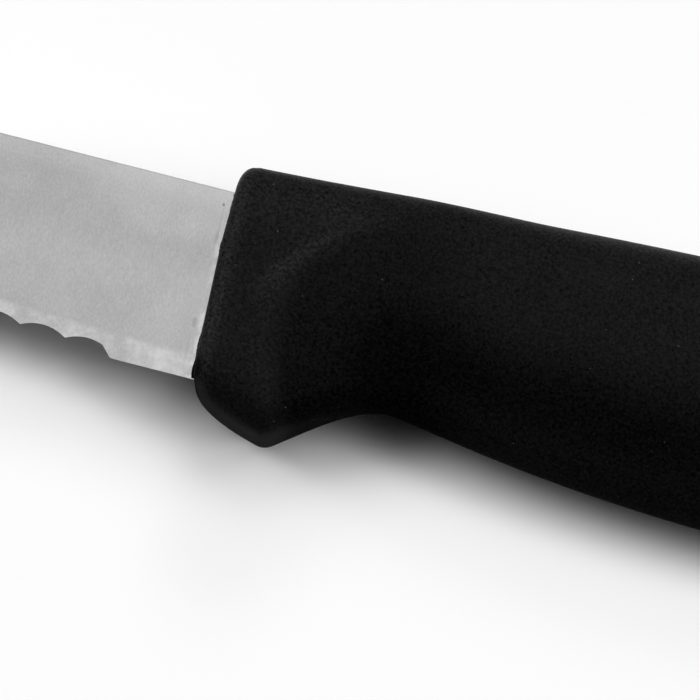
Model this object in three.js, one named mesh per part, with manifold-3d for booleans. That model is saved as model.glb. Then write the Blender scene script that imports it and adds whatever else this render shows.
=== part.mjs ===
// Serrated utility knife, lying on its side on a table.
// A stamped steel blade runs on as a hidden tang, and a plastic handle is moulded round that tang.
// Millimetres, +Z up. The blade points to -X, the spine faces +Y and the teeth face -Y.
// Shapes are drawn from the handle's front (x = 0), the blade's spine (y = 0) and its mid-plane (z = 0).
import * as THREE from "three";
import { mergeVertices } from "three/addons/utils/BufferGeometryUtils.js";
import Module from "manifold-3d";

const wasm = await Module();
wasm.setup();

// Blade sizes
const BLADE_LENGTH = 150; // handle front to tip
const BLADE_HEIGHT = 21.3; // spine to plain heel edge
const SPINE_THICKNESS = 1.6;
const BEVEL_THICKNESS = 1.25; // where the edge bevel starts on the right face, at the heel
const EDGE_THICKNESS = 0.25;
const BEVEL_HEIGHT = 2.4;
const SPINE_DROP = 2; // how far the spine falls to the tip
const SPINE_DROP_LENGTH = 55;
const TIP_HEIGHT = 0.7; // blunt height left at the very tip
const HEEL_SEAT = 5; // how far the full blade runs into the handle

// Serration sizes
const HEEL_PLAIN = 8; // plain edge in front of the handle
const FIRST_SCALLOP_SHARE = 0.656; // of a pitch, from the plain edge to the first scallop's middle
const SCALLOP_PITCH = 5.12;
const SCALLOP_RADIUS = 15.6; // of the grinding wheel's rib
const SCALLOP_DEPTH = 1.4; // edge to the top of a scallop
const HEEL_STEP_SETBACK = 1.6; // first scallop's middle to the step that ends it towards the heel
const HEEL_STEP_RUN = 6; // how far the flank of the wheel that leaves this step runs on
const SCALLOP_OVERRUN = 2.5; // how far the wheel's rib runs on past the edge
const SCALLOP_TILT = THREE.MathUtils.degToRad(17); // of the ground hollow to the blade's face
const LAST_SCALLOP_HEIGHT = 7; // no scallop is ground where the blade is lower

// Tang sizes
const TANG_TOP = 3; // below the spine
const TANG_HEIGHT = 12.5;
const TANG_TAPER = 2.5; // height lost towards the tang's end
const TANG_END_COVER = 27; // plastic between the tang's end and the butt
const TANG_HOLE_DIAMETER = 6;
const TANG_HOLE_COUNT = 3;
const MOULD_CLEARANCE = 0.3; // between the tang and the plastic

// Handle side outline sizes, measured back from the handle's front and from the spine or the heel edge
const HANDLE_LENGTH = 125;
const FRONT_LEAN = THREE.MathUtils.degToRad(2.4);
const BACK_STEP = 2.3; // handle's back above the spine, at the front
const BACK_CORNER_RADIUS = 2.6;
const BACK_CREST_RISE = 3.8;
const BACK_CREST_SETBACK = 84;
const BUTT_TOP_DROP = 2.6; // butt's top corner below the crest
const BUTT_RADIUS = 5;
const GUARD_DROP = 4.8; // guard's point below the heel edge
const GUARD_SETBACK = 10;
const GUARD_ROUND = 1.1; // how far the guard's point is rounded off, each way
const NOTCH_RISE = 1.6; // finger notch above the heel edge
const NOTCH_SETBACK = 22.5;
const PALM_DROP = 2.25; // palm swell below the heel edge
const PALM_SETBACK = 66;
const WAIST_DROP = 0.5; // tail waist below the heel edge
const WAIST_TO_BUTT = 22;
const BUTT_DROP = 2.6; // butt's hook below the heel edge

// Handle widths across the flanks
const GUARD_WIDTH = 18;
const NECK_WIDTH = 13.4;
const PALM_WIDTH = 18;
const WAIST_WIDTH = 15.4;
const BUTT_WIDTH = 17;
const FRONT_EDGE_RADIUS = 1.2;
const BUTT_EDGE_RADIUS = 3.4;

// Crease where the flat guard flank breaks into the finger scoop
const CREASE_SETBACK = 6.6; // its foremost point
const CREASE_LEVEL = 0.45; // height of that point, as a share of the handle's height there
const CREASE_TOP_SETBACK = 19.6; // where it runs out under the back
const CREASE_TOP_LEVEL = 0.93;
const CREASE_BOW = 2; // how late the crease bends back
const SCOOP_SLANT = 13; // the scoop's floor lies this much further back at the top
const SCOOP_FADE = 1.9; // how much shallower the scoop is at the top, on each side

// Mesh fineness
const HANDLE_ROWS = 20; // from belly to back, on each side
const BLADE_STEP = 4;
const BLADE_CROWDING = 1.3; // how much closer the blade's rings lie towards the tip
const OUTLINE_STEPS = 24; // on each curve of an outline
const ARC_STEPS = 8;

// Solids and meshes

function solidOf(geometry) {
  const bare = geometry.clone();
  bare.deleteAttribute("normal");
  bare.deleteAttribute("uv");
  const merged = mergeVertices(bare, 1e-4);
  return new wasm.Manifold(
    new wasm.Mesh({
      numProp: 3,
      vertProperties: merged.attributes.position.array,
      triVerts: new Uint32Array(merged.index.array),
    }),
  );
}

function meshOf(name, solid, material) {
  const { vertProperties, triVerts } = solid.getMesh();
  const geometry = new THREE.BufferGeometry();
  geometry.setAttribute("position", new THREE.BufferAttribute(vertProperties, 3));
  geometry.setIndex(new THREE.BufferAttribute(triVerts, 1));
  geometry.computeVertexNormals();
  const mesh = new THREE.Mesh(geometry, material);
  mesh.name = name;
  return mesh;
}

// Skins a row of closed rings, each seen anticlockwise from +X, and caps both flat ends.
function loft(rings) {
  const count = rings[0].length;
  const triangles = [];
  for (let k = 0; k + 1 < rings.length; k++) {
    for (let i = 0; i < count; i++) {
      const next = (i + 1) % count;
      const [a, b] = [k * count + i, k * count + next];
      const [c, d] = [a + count, b + count];
      triangles.push(a, b, d, a, d, c);
    }
  }
  const last = (rings.length - 1) * count;
  for (let i = 1; i + 1 < count; i++) {
    triangles.push(0, i + 1, i, last, last + i, last + i + 1);
  }
  const geometry = new THREE.BufferGeometry().setFromPoints(rings.flat());
  geometry.setIndex(triangles);
  return solidOf(geometry);
}

// Reads an outline that runs along X as a height at any x.
function heightAlong(path) {
  const points = path.getPoints(OUTLINE_STEPS);
  return (x) => {
    const after = points.findIndex((p) => p.x >= x);
    if (after <= 0) return after === 0 ? points[0].y : points[points.length - 1].y;
    const [p, q] = [points[after - 1], points[after]];
    return THREE.MathUtils.mapLinear(x, p.x, q.x, p.y, q.y);
  };
}

// Blade: a flat left face, and a right face with the edge bevel and the ground scallops

const heelY = -BLADE_HEIGHT;
const tipX = -BLADE_LENGTH;
const tipY = -SPINE_DROP;

function spineOutline() {
  const path = new THREE.Path();
  path.moveTo(tipX, tipY);
  path.quadraticCurveTo(tipX + SPINE_DROP_LENGTH / 2, 0, tipX + SPINE_DROP_LENGTH, 0);
  path.lineTo(HEEL_SEAT, 0);
  return path;
}

function edgeOutline() {
  const path = new THREE.Path();
  const rise = tipY - TIP_HEIGHT - heelY;
  path.moveTo(tipX, tipY - TIP_HEIGHT);
  path.bezierCurveTo(
    tipX + BLADE_LENGTH * 0.14,
    heelY + rise * 0.36,
    tipX + BLADE_LENGTH * 0.53,
    heelY + rise * 0.13,
    -HEEL_PLAIN,
    heelY,
  );
  path.lineTo(HEEL_SEAT, heelY);
  return path;
}

const spineAt = heightAlong(spineOutline());
const edgeAt = heightAlong(edgeOutline());

// Half the blade's thickness at a height, so that the left face is one flat plane down to the edge and the
// right face one down to the bevel.
function sideHalf(y) {
  const taper = (SPINE_THICKNESS - BEVEL_THICKNESS) / (BLADE_HEIGHT - BEVEL_HEIGHT);
  return (SPINE_THICKNESS + taper * y) / 2;
}

const bevelHeight = (x) => Math.min(BEVEL_HEIGHT, (spineAt(x) - edgeAt(x)) / 2);

// One cross-section of the blade, grown all round by a clearance.
function bladeRing(x, grow) {
  const [spine, edge] = [spineAt(x), edgeAt(x)];
  const bevel = edge + bevelHeight(x);
  const corners = [
    [edge - grow, sideHalf(edge) - EDGE_THICKNESS - grow],
    [bevel, -sideHalf(bevel) - grow],
    [spine + grow, -sideHalf(spine) - grow],
    [spine + grow, sideHalf(spine) + grow],
    [edge - grow, sideHalf(edge) + grow],
  ];
  return corners.map(([y, z]) => new THREE.Vector3(x, y, z));
}

function bladeBody() {
  const rings = [];
  const steps = Math.round(BLADE_LENGTH / BLADE_STEP);
  for (let i = 0; i <= steps; i++) {
    rings.push(bladeRing(tipX + BLADE_LENGTH * (i / steps) ** BLADE_CROWDING, 0));
  }
  rings.push(bladeRing(HEEL_SEAT, 0));
  return loft(rings);
}

// The wheel's rib that grinds one scallop, lying along the hollow that it leaves. The rib at the wheel's end
// has a slanting flank, which leaves a step towards the heel.
function scallopCutter(x, atWheelEnd) {
  const half = Math.asin(0.5);
  const end = atWheelEnd ? Math.asin(HEEL_STEP_SETBACK / SCALLOP_RADIUS) : half;
  const rib = new THREE.Shape();
  rib.absarc(0, SCALLOP_RADIUS, SCALLOP_RADIUS, -Math.PI / 2 - half, -Math.PI / 2 + end);
  if (atWheelEnd) {
    const { x: stepX, y: stepY } = rib.currentPoint;
    rib.lineTo(stepX + HEEL_STEP_RUN, stepY + HEEL_STEP_RUN * Math.sin(SCALLOP_TILT));
  }
  const hollowLength = 1.5 * (SPINE_THICKNESS / Math.sin(SCALLOP_TILT)); // past the right face
  const geometry = new THREE.ExtrudeGeometry(rib, {
    depth: SCALLOP_OVERRUN + hollowLength,
    bevelEnabled: false,
    curveSegments: ARC_STEPS,
  });
  geometry.translate(0, 0, -SCALLOP_OVERRUN);
  const step = SCALLOP_PITCH / 2;
  const along = new THREE.Vector3(2 * step, edgeAt(x + step) - edgeAt(x - step), 0).normalize();
  const up = new THREE.Vector3(-along.y, along.x, 0);
  const side = new THREE.Vector3(0, 0, 1);
  const [sine, cosine] = [Math.sin(SCALLOP_TILT), Math.cos(SCALLOP_TILT)];
  const outward = up.clone().multiplyScalar(-sine).addScaledVector(side, -cosine);
  const hollow = up.clone().multiplyScalar(cosine).addScaledVector(side, -sine);
  const leftFace = sideHalf(edgeAt(x) + SCALLOP_DEPTH);
  const floor = new THREE.Vector3(x, edgeAt(x), leftFace).addScaledVector(up, SCALLOP_DEPTH);
  const place = new THREE.Matrix4().makeBasis(along, outward, hollow).setPosition(floor);
  return solidOf(geometry.applyMatrix4(place));
}

function scallops() {
  const cutters = [];
  const first = -HEEL_PLAIN - SCALLOP_PITCH * FIRST_SCALLOP_SHARE;
  for (let x = first; spineAt(x) - edgeAt(x) > LAST_SCALLOP_HEIGHT; x -= SCALLOP_PITCH) {
    cutters.push(scallopCutter(x, x === first));
  }
  return cutters;
}

// Tang: a tapered tongue with round holes that the plastic flows through

const tangEnd = HANDLE_LENGTH - TANG_END_COVER;

function tangSolid(grow) {
  const [top, bottom] = [-TANG_TOP + grow, -TANG_TOP - TANG_HEIGHT - grow];
  const [endTop, endBottom] = [top - TANG_TAPER / 2, bottom + TANG_TAPER / 2];
  const end = tangEnd + grow;
  const corner = (endTop - endBottom) / 4;
  const outline = new THREE.Shape();
  outline.moveTo(0, bottom);
  outline.lineTo(end - corner, endBottom);
  outline.quadraticCurveTo(end, endBottom, end, endBottom + corner);
  outline.lineTo(end, endTop - corner);
  outline.quadraticCurveTo(end, endTop, end - corner, endTop);
  outline.lineTo(0, top);
  const spacing = tangEnd / (TANG_HOLE_COUNT + 0.5);
  for (let i = 1; i <= TANG_HOLE_COUNT; i++) {
    const hole = new THREE.Path();
    hole.absarc(i * spacing, (top + bottom) / 2, TANG_HOLE_DIAMETER / 2 - grow, 0, 2 * Math.PI, true);
    outline.holes.push(hole);
  }
  const depth = SPINE_THICKNESS + 2 * grow;
  const geometry = new THREE.ExtrudeGeometry(outline, {
    depth,
    bevelEnabled: false,
    curveSegments: 2 * ARC_STEPS,
  });
  return solidOf(geometry.translate(0, 0, -depth / 2));
}

function bladeSolid() {
  return scallops().reduce((blade, cutter) => blade.subtract(cutter), bladeBody().add(tangSolid(0)));
}

// Handle: a loft from the front face, past the guard's crease and the finger scoop, to the butt

const backY = BACK_STEP;
const crestY = BACK_STEP + BACK_CREST_RISE;
const frontHeight = BLADE_HEIGHT + BACK_STEP;
const buttTopY = crestY - BUTT_TOP_DROP;
const waistX = HANDLE_LENGTH - WAIST_TO_BUTT;
const buttX = HANDLE_LENGTH - BUTT_RADIUS;

function backOutline() {
  const path = new THREE.Path();
  const run = BACK_CREST_SETBACK - BACK_CORNER_RADIUS;
  const fall = buttX - BACK_CREST_SETBACK;
  path.moveTo(0, backY - BACK_CORNER_RADIUS);
  path.quadraticCurveTo(0, backY, BACK_CORNER_RADIUS, backY);
  path.bezierCurveTo(
    BACK_CORNER_RADIUS + run * 0.3,
    backY + BACK_CREST_RISE * 0.45,
    BACK_CREST_SETBACK - run * 0.36,
    crestY,
    BACK_CREST_SETBACK,
    crestY,
  );
  path.bezierCurveTo(
    BACK_CREST_SETBACK + fall * 0.45,
    crestY,
    buttX - fall * 0.35,
    buttTopY + BUTT_TOP_DROP * 0.35,
    buttX,
    buttTopY,
  );
  const shoulder = buttTopY - BUTT_TOP_DROP / 2;
  path.quadraticCurveTo(HANDLE_LENGTH, shoulder, HANDLE_LENGTH, buttTopY - BUTT_RADIUS);
  return path;
}

// Adds a swell or a hollow that starts and ends level.
function levelCurve(path, x, y, leaveShare, arriveShare) {
  const { x: fromX, y: fromY } = path.currentPoint;
  const run = x - fromX;
  path.bezierCurveTo(fromX + run * leaveShare, fromY, x - run * arriveShare, y, x, y);
}

function bellyOutline() {
  const path = new THREE.Path();
  const frontX = Math.tan(FRONT_LEAN) * frontHeight;
  const guardY = heelY - GUARD_DROP;
  const notchY = heelY + NOTCH_RISE;
  const guardRun = NOTCH_SETBACK - GUARD_SETBACK;
  path.moveTo(frontX, heelY - MOULD_CLEARANCE);
  path.quadraticCurveTo(
    frontX + GUARD_SETBACK * 0.1,
    heelY - GUARD_DROP * 0.6,
    GUARD_SETBACK - GUARD_ROUND,
    guardY + GUARD_ROUND * 0.1,
  );
  path.quadraticCurveTo(
    GUARD_SETBACK,
    guardY - GUARD_ROUND * 0.2,
    GUARD_SETBACK + GUARD_ROUND,
    guardY + GUARD_ROUND * 0.7,
  );
  path.bezierCurveTo(
    GUARD_SETBACK + guardRun * 0.34,
    guardY + (notchY - guardY) * 0.48,
    NOTCH_SETBACK - guardRun * 0.31,
    notchY,
    NOTCH_SETBACK,
    notchY,
  );
  levelCurve(path, PALM_SETBACK, heelY - PALM_DROP, 0.06, 0.62);
  levelCurve(path, waistX, heelY - WAIST_DROP, 0.4, 0.4);
  levelCurve(path, buttX, heelY - BUTT_DROP, 0.45, 0.3);
  path.quadraticCurveTo(HANDLE_LENGTH, heelY - BUTT_DROP, HANDLE_LENGTH, heelY - BUTT_DROP + BUTT_RADIUS);
  return path;
}

const backAt = heightAlong(backOutline());
const bellyAt = heightAlong(bellyOutline());

const frontX = (level) => Math.tan(FRONT_LEAN) * frontHeight * (1 - level);

function creaseX(level) {
  if (level < CREASE_LEVEL) {
    return CREASE_SETBACK + (GUARD_SETBACK - CREASE_SETBACK) * (1 - level / CREASE_LEVEL) ** 2;
  }
  const climb = Math.min(1, (level - CREASE_LEVEL) / (CREASE_TOP_LEVEL - CREASE_LEVEL));
  return CREASE_SETBACK + (CREASE_TOP_SETBACK - CREASE_SETBACK) * climb ** CREASE_BOW;
}

// How a width changes between two lines of the handle.
const steady = (t) => t;
const smooth = (t) => t * t * (3 - 2 * t);
const sharpThenFlat = (t) => Math.sin((t * Math.PI) / 2);
const roundOver = (t) => Math.sqrt(t * (2 - t));
const roundUnder = (t) => 1 - Math.sqrt(1 - t * t);

// Cross-sections. back and belly say how square each half is, from 1 for a wedge over 2 for an oval to 8
// for a box. widest is the level of the widest point, from belly to back, and flat is the share of the half
// width that is planed off to leave a flat flank.
const guardSection = { back: 5, belly: 5, widest: 0.5, flat: 0.02 };
const neckSection = { back: 3.2, belly: 1.8, widest: 0.6, flat: 0 };
const gripSection = { back: 2.9, belly: 1.7, widest: 0.6, flat: 0 };
const buttSection = { back: 3, belly: 2.2, widest: 0.56, flat: 0 };

// The lines that the handle is lofted through, each with its place and half width at a level.
const handleLines = [
  {
    x: frontX,
    half: () => GUARD_WIDTH / 2 - FRONT_EDGE_RADIUS,
    ...guardSection,
  },
  {
    x: (level) => frontX(level) + FRONT_EDGE_RADIUS,
    half: () => GUARD_WIDTH / 2,
    ...guardSection,
    steps: 4,
    change: roundOver,
  },
  {
    x: creaseX,
    half: () => GUARD_WIDTH / 2,
    ...guardSection,
    steps: 6,
    change: steady,
  },
  {
    x: (level) => NOTCH_SETBACK + SCOOP_SLANT * level,
    half: (level) => NECK_WIDTH / 2 + SCOOP_FADE * smooth(level),
    ...neckSection,
    steps: 9,
    change: sharpThenFlat,
  },
  {
    x: () => PALM_SETBACK,
    half: () => PALM_WIDTH / 2,
    ...gripSection,
    steps: 12,
    change: smooth,
  },
  {
    x: () => waistX,
    half: () => WAIST_WIDTH / 2,
    ...gripSection,
    steps: 8,
    change: smooth,
  },
  {
    x: () => HANDLE_LENGTH - BUTT_EDGE_RADIUS,
    half: () => BUTT_WIDTH / 2,
    ...buttSection,
    steps: 8,
    change: smooth,
  },
  {
    x: () => HANDLE_LENGTH,
    half: () => BUTT_WIDTH / 2 - BUTT_EDGE_RADIUS,
    ...buttSection,
    steps: 5,
    change: roundUnder,
  },
];

// A point on the left flank, a share of the way from one line to the next.
function handlePoint(from, to, share, level) {
  const mix = (key) => THREE.MathUtils.lerp(from[key], to[key], smooth(share));
  const [widest, flat] = [mix("widest"), mix("flat")];
  const x = THREE.MathUtils.lerp(from.x(level), to.x(level), share);
  const y = THREE.MathUtils.lerp(bellyAt(x), backAt(x), level);
  const half = THREE.MathUtils.lerp(from.half(level), to.half(level), to.change(share));
  const below = level < widest;
  const away = below ? (widest - level) / widest : (level - widest) / (1 - widest);
  const square = mix(below ? "belly" : "back");
  const fullness = (1 + flat) * (1 - away ** square) ** (1 / square);
  return new THREE.Vector3(x, y, half * Math.min(1, fullness));
}

function handleRing(from, to, share) {
  const left = [];
  for (let j = 0; j <= HANDLE_ROWS; j++) {
    const level = (1 - Math.cos((Math.PI * j) / HANDLE_ROWS)) / 2; // closer together at belly and back
    left.push(handlePoint(from, to, share, level));
  }
  const right = left.slice(1, -1).map((p) => new THREE.Vector3(p.x, p.y, -p.z));
  return [...right, left[HANDLE_ROWS], ...left.slice(0, -1).reverse()];
}

function handleBody() {
  const rings = [handleRing(handleLines[0], handleLines[1], 0)];
  for (let k = 1; k < handleLines.length; k++) {
    const { steps } = handleLines[k];
    for (let i = 1; i <= steps; i++) {
      rings.push(handleRing(handleLines[k - 1], handleLines[k], i / steps));
    }
  }
  return loft(rings);
}

// The seat round the blade's heel and the tang, with the pegs that fill the tang's holes left standing.
function handleSolid() {
  const mouth = loft([-HEEL_SEAT, HEEL_SEAT + MOULD_CLEARANCE].map((x) => bladeRing(x, MOULD_CLEARANCE)));
  return handleBody().subtract(mouth).subtract(tangSolid(MOULD_CLEARANCE));
}

const steel = new THREE.MeshStandardMaterial({ color: 0xb4b4b4, roughness: 0.38, metalness: 1 });
const blackPlastic = new THREE.MeshStandardMaterial({ color: 0x141414, roughness: 0.72, metalness: 0 });

const knife = new THREE.Group();
knife.add(meshOf("serrated_blade", bladeSolid(), steel));
knife.add(meshOf("moulded_handle", handleSolid(), blackPlastic));

// The knife lies on its right flank, with the middle of its box over the origin.
const box = new THREE.Box3().setFromObject(knife);
const middle = box.getCenter(new THREE.Vector3());
knife.position.set(-middle.x, -middle.y, -box.min.z);

const part = new THREE.Group();
part.add(knife);

export default part;
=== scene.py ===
"""Looks of a serrated utility knife that lies on its side: steel blade, moulded handle and studio.

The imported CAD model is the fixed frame. Both pieces are drawn again from the CAD's outlines with a finer
skin, and get what the solids leave out: the rounded crease, the dished guard flank, the flash that the
mould left on the blade, the softened spine, and the finishes. The spine, the handle's front and its back
follow the photograph to a tenth of a millimetre, and so lie up to 0.3 mm off the CAD's.

Sizes in the classes are millimetres. As in the CAD they are measured from the handle's front (x = 0), the
blade's spine (y = 0) and the blade's mid-plane (z = 0).
"""

import logging
import math
from dataclasses import dataclass, field
from enum import Enum
from typing import Callable

import bmesh
import bpy
import numpy as np
from mathutils import Matrix, Vector


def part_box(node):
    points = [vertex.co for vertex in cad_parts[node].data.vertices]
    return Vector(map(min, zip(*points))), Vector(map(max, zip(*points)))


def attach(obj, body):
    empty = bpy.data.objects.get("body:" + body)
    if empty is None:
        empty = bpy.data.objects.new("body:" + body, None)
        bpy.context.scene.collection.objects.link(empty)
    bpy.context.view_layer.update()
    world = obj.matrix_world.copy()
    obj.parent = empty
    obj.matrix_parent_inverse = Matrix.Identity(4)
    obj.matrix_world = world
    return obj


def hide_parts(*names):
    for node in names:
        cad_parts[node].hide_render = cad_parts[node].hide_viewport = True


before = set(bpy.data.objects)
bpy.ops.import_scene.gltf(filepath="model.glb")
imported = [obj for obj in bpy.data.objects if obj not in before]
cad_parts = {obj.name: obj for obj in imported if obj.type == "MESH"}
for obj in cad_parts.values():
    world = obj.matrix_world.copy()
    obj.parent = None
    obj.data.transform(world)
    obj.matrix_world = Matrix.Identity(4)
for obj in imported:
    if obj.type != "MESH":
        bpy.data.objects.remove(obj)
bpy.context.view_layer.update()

MM = 0.001  # metres in a millimetre

Array = np.ndarray
Socket = bpy.types.NodeSocket
Feed = Socket | float
AlongLevel = Callable[[Array], Array]

log = logging.getLogger("knife")


def lerp(start: float | Array, end: float | Array, share: float | Array) -> Array:
    """Goes a share of the way from start to end."""
    return start + (end - start) * share


def smooth(share: Array) -> Array:
    """Eases a share from 0 to 1, level at both ends."""
    return share * share * (3 - 2 * share)


@dataclass(frozen=True)
class Ramp:
    """A smooth change from low to high, while a value that is followed passes from start to end."""

    start: float
    end: float
    low: float = 0.0
    high: float = 1.0

    def at(self, followed: Array) -> Array:
        """Gives the change at each value that is followed."""
        share = np.clip((followed - self.start) / (self.end - self.start), 0, 1)
        return lerp(self.low, self.high, smooth(share))


@dataclass(frozen=True)
class Hill:
    """A round rise to 1 where a value that is followed is at the middle, and almost 0 two widths away."""

    middle: float
    width: float | Array

    def at(self, followed: Array) -> Array:
        """Gives the hill's height at each value that is followed."""
        return np.exp(-(((followed - self.middle) / self.width) ** 2))


@dataclass(frozen=True)
class Cloud:
    """A cloudy pattern: how often it changes per millimetre along the row's axes, and its finer layers."""

    per_mm: tuple[float, float, float]
    detail: float = 3.0
    roughness: float = 0.6


@dataclass(frozen=True)
class Specks:
    """Small round specks: how close their places lie, their radius, the share of places taken, and a tone."""

    per_mm: float
    radius: float
    share: float
    tone: float


class Easing(Enum):
    """How a width changes between two lines of the handle."""

    STEADY = "steady"
    SMOOTH = "smooth"
    ROUND_OVER = "round over"
    ROUND_UNDER = "round under"

    def at(self, share: Array) -> Array:
        """Eases a share of the way.

        Args:
            share: From 0 at the first line to 1 at the second.

        Returns:
            The eased share.
        """
        if self is Easing.SMOOTH:
            return smooth(share)
        if self is Easing.ROUND_OVER:
            return np.sqrt(share * (2 - share))
        if self is Easing.ROUND_UNDER:
            return 1 - np.sqrt(1 - share * share)
        return share


class Outline:
    """A line drawn along x with straight runs and curves, read back as a height at any x."""

    CURVE_STEPS = 48

    def __init__(self, x: float, y: float) -> None:
        """Sets the pen down at a point."""
        self._points: list[tuple[float, float]] = [(x, y)]

    def line(self, x: float, y: float) -> "Outline":
        """Draws a straight run to a point, and returns the outline."""
        self._points.append((x, y))
        return self

    def curve(self, *controls: tuple[float, float]) -> "Outline":
        """Draws a Bezier curve.

        Args:
            controls: Its control points after the pen's place. The last one is the curve's end.

        Returns:
            The outline.
        """
        polygon = np.array([self._points[-1], *controls])
        for share in np.linspace(0, 1, self.CURVE_STEPS + 1)[1:]:
            level = polygon
            while len(level) > 1:
                level = lerp(level[:-1], level[1:], share)
            self._points.append((float(level[0, 0]), float(level[0, 1])))
        return self

    def level_curve(self, x: float, y: float, leave: float, arrive: float) -> "Outline":
        """Draws a swell or a hollow that starts and ends level.

        Args:
            x: Where it ends along x.
            y: Where it ends in height.
            leave: Share of the run that the start stays level.
            arrive: Share of the run that the end is level.

        Returns:
            The outline.
        """
        from_x, from_y = self._points[-1]
        run = x - from_x
        return self.curve((from_x + run * leave, from_y), (x - run * arrive, y), (x, y))

    def at(self, x: Array) -> Array:
        """Reads the height at each x."""
        along, height = np.array(self._points).T
        return np.interp(x, along, height)


@dataclass(frozen=True)
class KnifeAxes:
    """Where the knife's own axes lie in the row frame."""

    origin: Vector

    @classmethod
    def from_frame(cls) -> "KnifeAxes":
        """Finds the handle's front, the spine and the mid-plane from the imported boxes.

        Returns:
            The knife's axes.
        """
        handle_low, handle_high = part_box("moulded_handle")
        _, blade_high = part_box("serrated_blade")
        return cls(Vector((handle_low.x, blade_high.y, (handle_low.z + handle_high.z) / 2)))

    def to_row(self, points: Array) -> Array:
        """Takes points from the knife's millimetres to the row's metres."""
        return points * MM + np.array(self.origin)


class Change(Enum):
    """What a tool does to a body."""

    CUT = "DIFFERENCE"
    ADD = "UNION"


class Solids:
    """Meshes that are skinned from rings, and what is done with them."""

    @staticmethod
    def skin(name: str, rings: Array, capped: tuple[bool, bool] = (True, True)) -> bpy.types.Object:
        """Skins a row of closed rings.

        Args:
            name: The new object's name.
            rings: Points by ring, place on the ring and axis. Each ring is seen anticlockwise from the end
                that the row runs to.
            capped: Whether the first and the last ring are closed with a face.

        Returns:
            A mesh object.
        """
        ring_count, point_count, _ = rings.shape
        near = np.arange(point_count)
        after = np.roll(near, -1)
        faces: list[list[int]] = []
        for ring in range(ring_count - 1):
            a, b = ring * point_count + near, ring * point_count + after
            faces += np.stack([a, b, b + point_count, a + point_count], axis=1).tolist()
        if capped[0]:
            faces.append(near[::-1].tolist())
        if capped[1]:
            faces.append((near + (ring_count - 1) * point_count).tolist())
        mesh = bpy.data.meshes.new(name)
        mesh.from_pydata(rings.reshape(-1, 3).tolist(), [], faces)
        made = bpy.data.objects.new(name, mesh)
        bpy.context.scene.collection.objects.link(made)
        return made

    @staticmethod
    def prism(name: str, outline: Array, low: float, high: float) -> bpy.types.Object:
        """Raises an outline along z.

        Args:
            name: The new object's name.
            outline: Its points by place and axis, anticlockwise.
            low: The lower end.
            high: The upper end.

        Returns:
            A closed mesh object.
        """
        rings = np.stack([np.column_stack([outline, np.full(len(outline), z)]) for z in (low, high)])
        return Solids.skin(name, rings)

    @staticmethod
    def combine(body: bpy.types.Object, tools: list[bpy.types.Object], change: Change) -> None:
        """Cuts tools from a body or adds them to it, and removes the tools.

        Args:
            body: The mesh object that is changed.
            tools: Closed mesh objects.
            change: What the tools do to the body.
        """
        for tool in tools:
            step = body.modifiers.new(tool.name, "BOOLEAN")
            step.object = tool
            step.operation = change.value
            step.solver = "MANIFOLD"
        graph = bpy.context.evaluated_depsgraph_get()
        made = bpy.data.meshes.new_from_object(body.evaluated_get(graph))
        body.modifiers.clear()
        body.data = made
        for tool in tools:
            bpy.data.objects.remove(tool)

    @staticmethod
    def join(body: bpy.types.Object, extras: list[bpy.types.Object]) -> None:
        """Adds the extras' closed shells to the body's mesh and removes the extras.

        Args:
            body: The mesh object that is changed.
            extras: Closed mesh objects.
        """
        joined = bmesh.new()
        for part in [body, *extras]:
            joined.from_mesh(part.data)
        bmesh.ops.recalc_face_normals(joined, faces=joined.faces)
        joined.to_mesh(body.data)
        joined.free()
        for extra in extras:
            bpy.data.objects.remove(extra)

    @staticmethod
    def points(body: bpy.types.Object) -> Array:
        """Reads the mesh's points as rows of x, y and z.

        Args:
            body: A mesh object.

        Returns:
            One row for each point.
        """
        flat = np.empty(len(body.data.vertices) * 3, np.float32)
        body.data.vertices.foreach_get("co", flat)
        return flat.reshape(-1, 3).astype(float)

    @staticmethod
    def mark(body: bpy.types.Object, name: str, values: Array) -> None:
        """Stores a value at each point of the mesh, for its finish to read."""
        attribute = body.data.attributes.new(name, "FLOAT", "POINT")
        attribute.data.foreach_set("value", values.astype(np.float32))

    @staticmethod
    def place(body: bpy.types.Object, axes: KnifeAxes, sharp_deg: float) -> None:
        """Moves the mesh into the row frame and shades it smooth.

        Args:
            body: A mesh object in the knife's millimetres.
            axes: Where the knife lies.
            sharp_deg: Edges that bend more than this stay sharp.
        """
        mesh = body.data
        mesh.vertices.foreach_set("co", axes.to_row(Solids.points(body)).astype(np.float32).ravel())
        mesh.shade_smooth()
        mesh.set_sharp_from_angle(angle=math.radians(sharp_deg))
        mesh.update()


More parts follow.
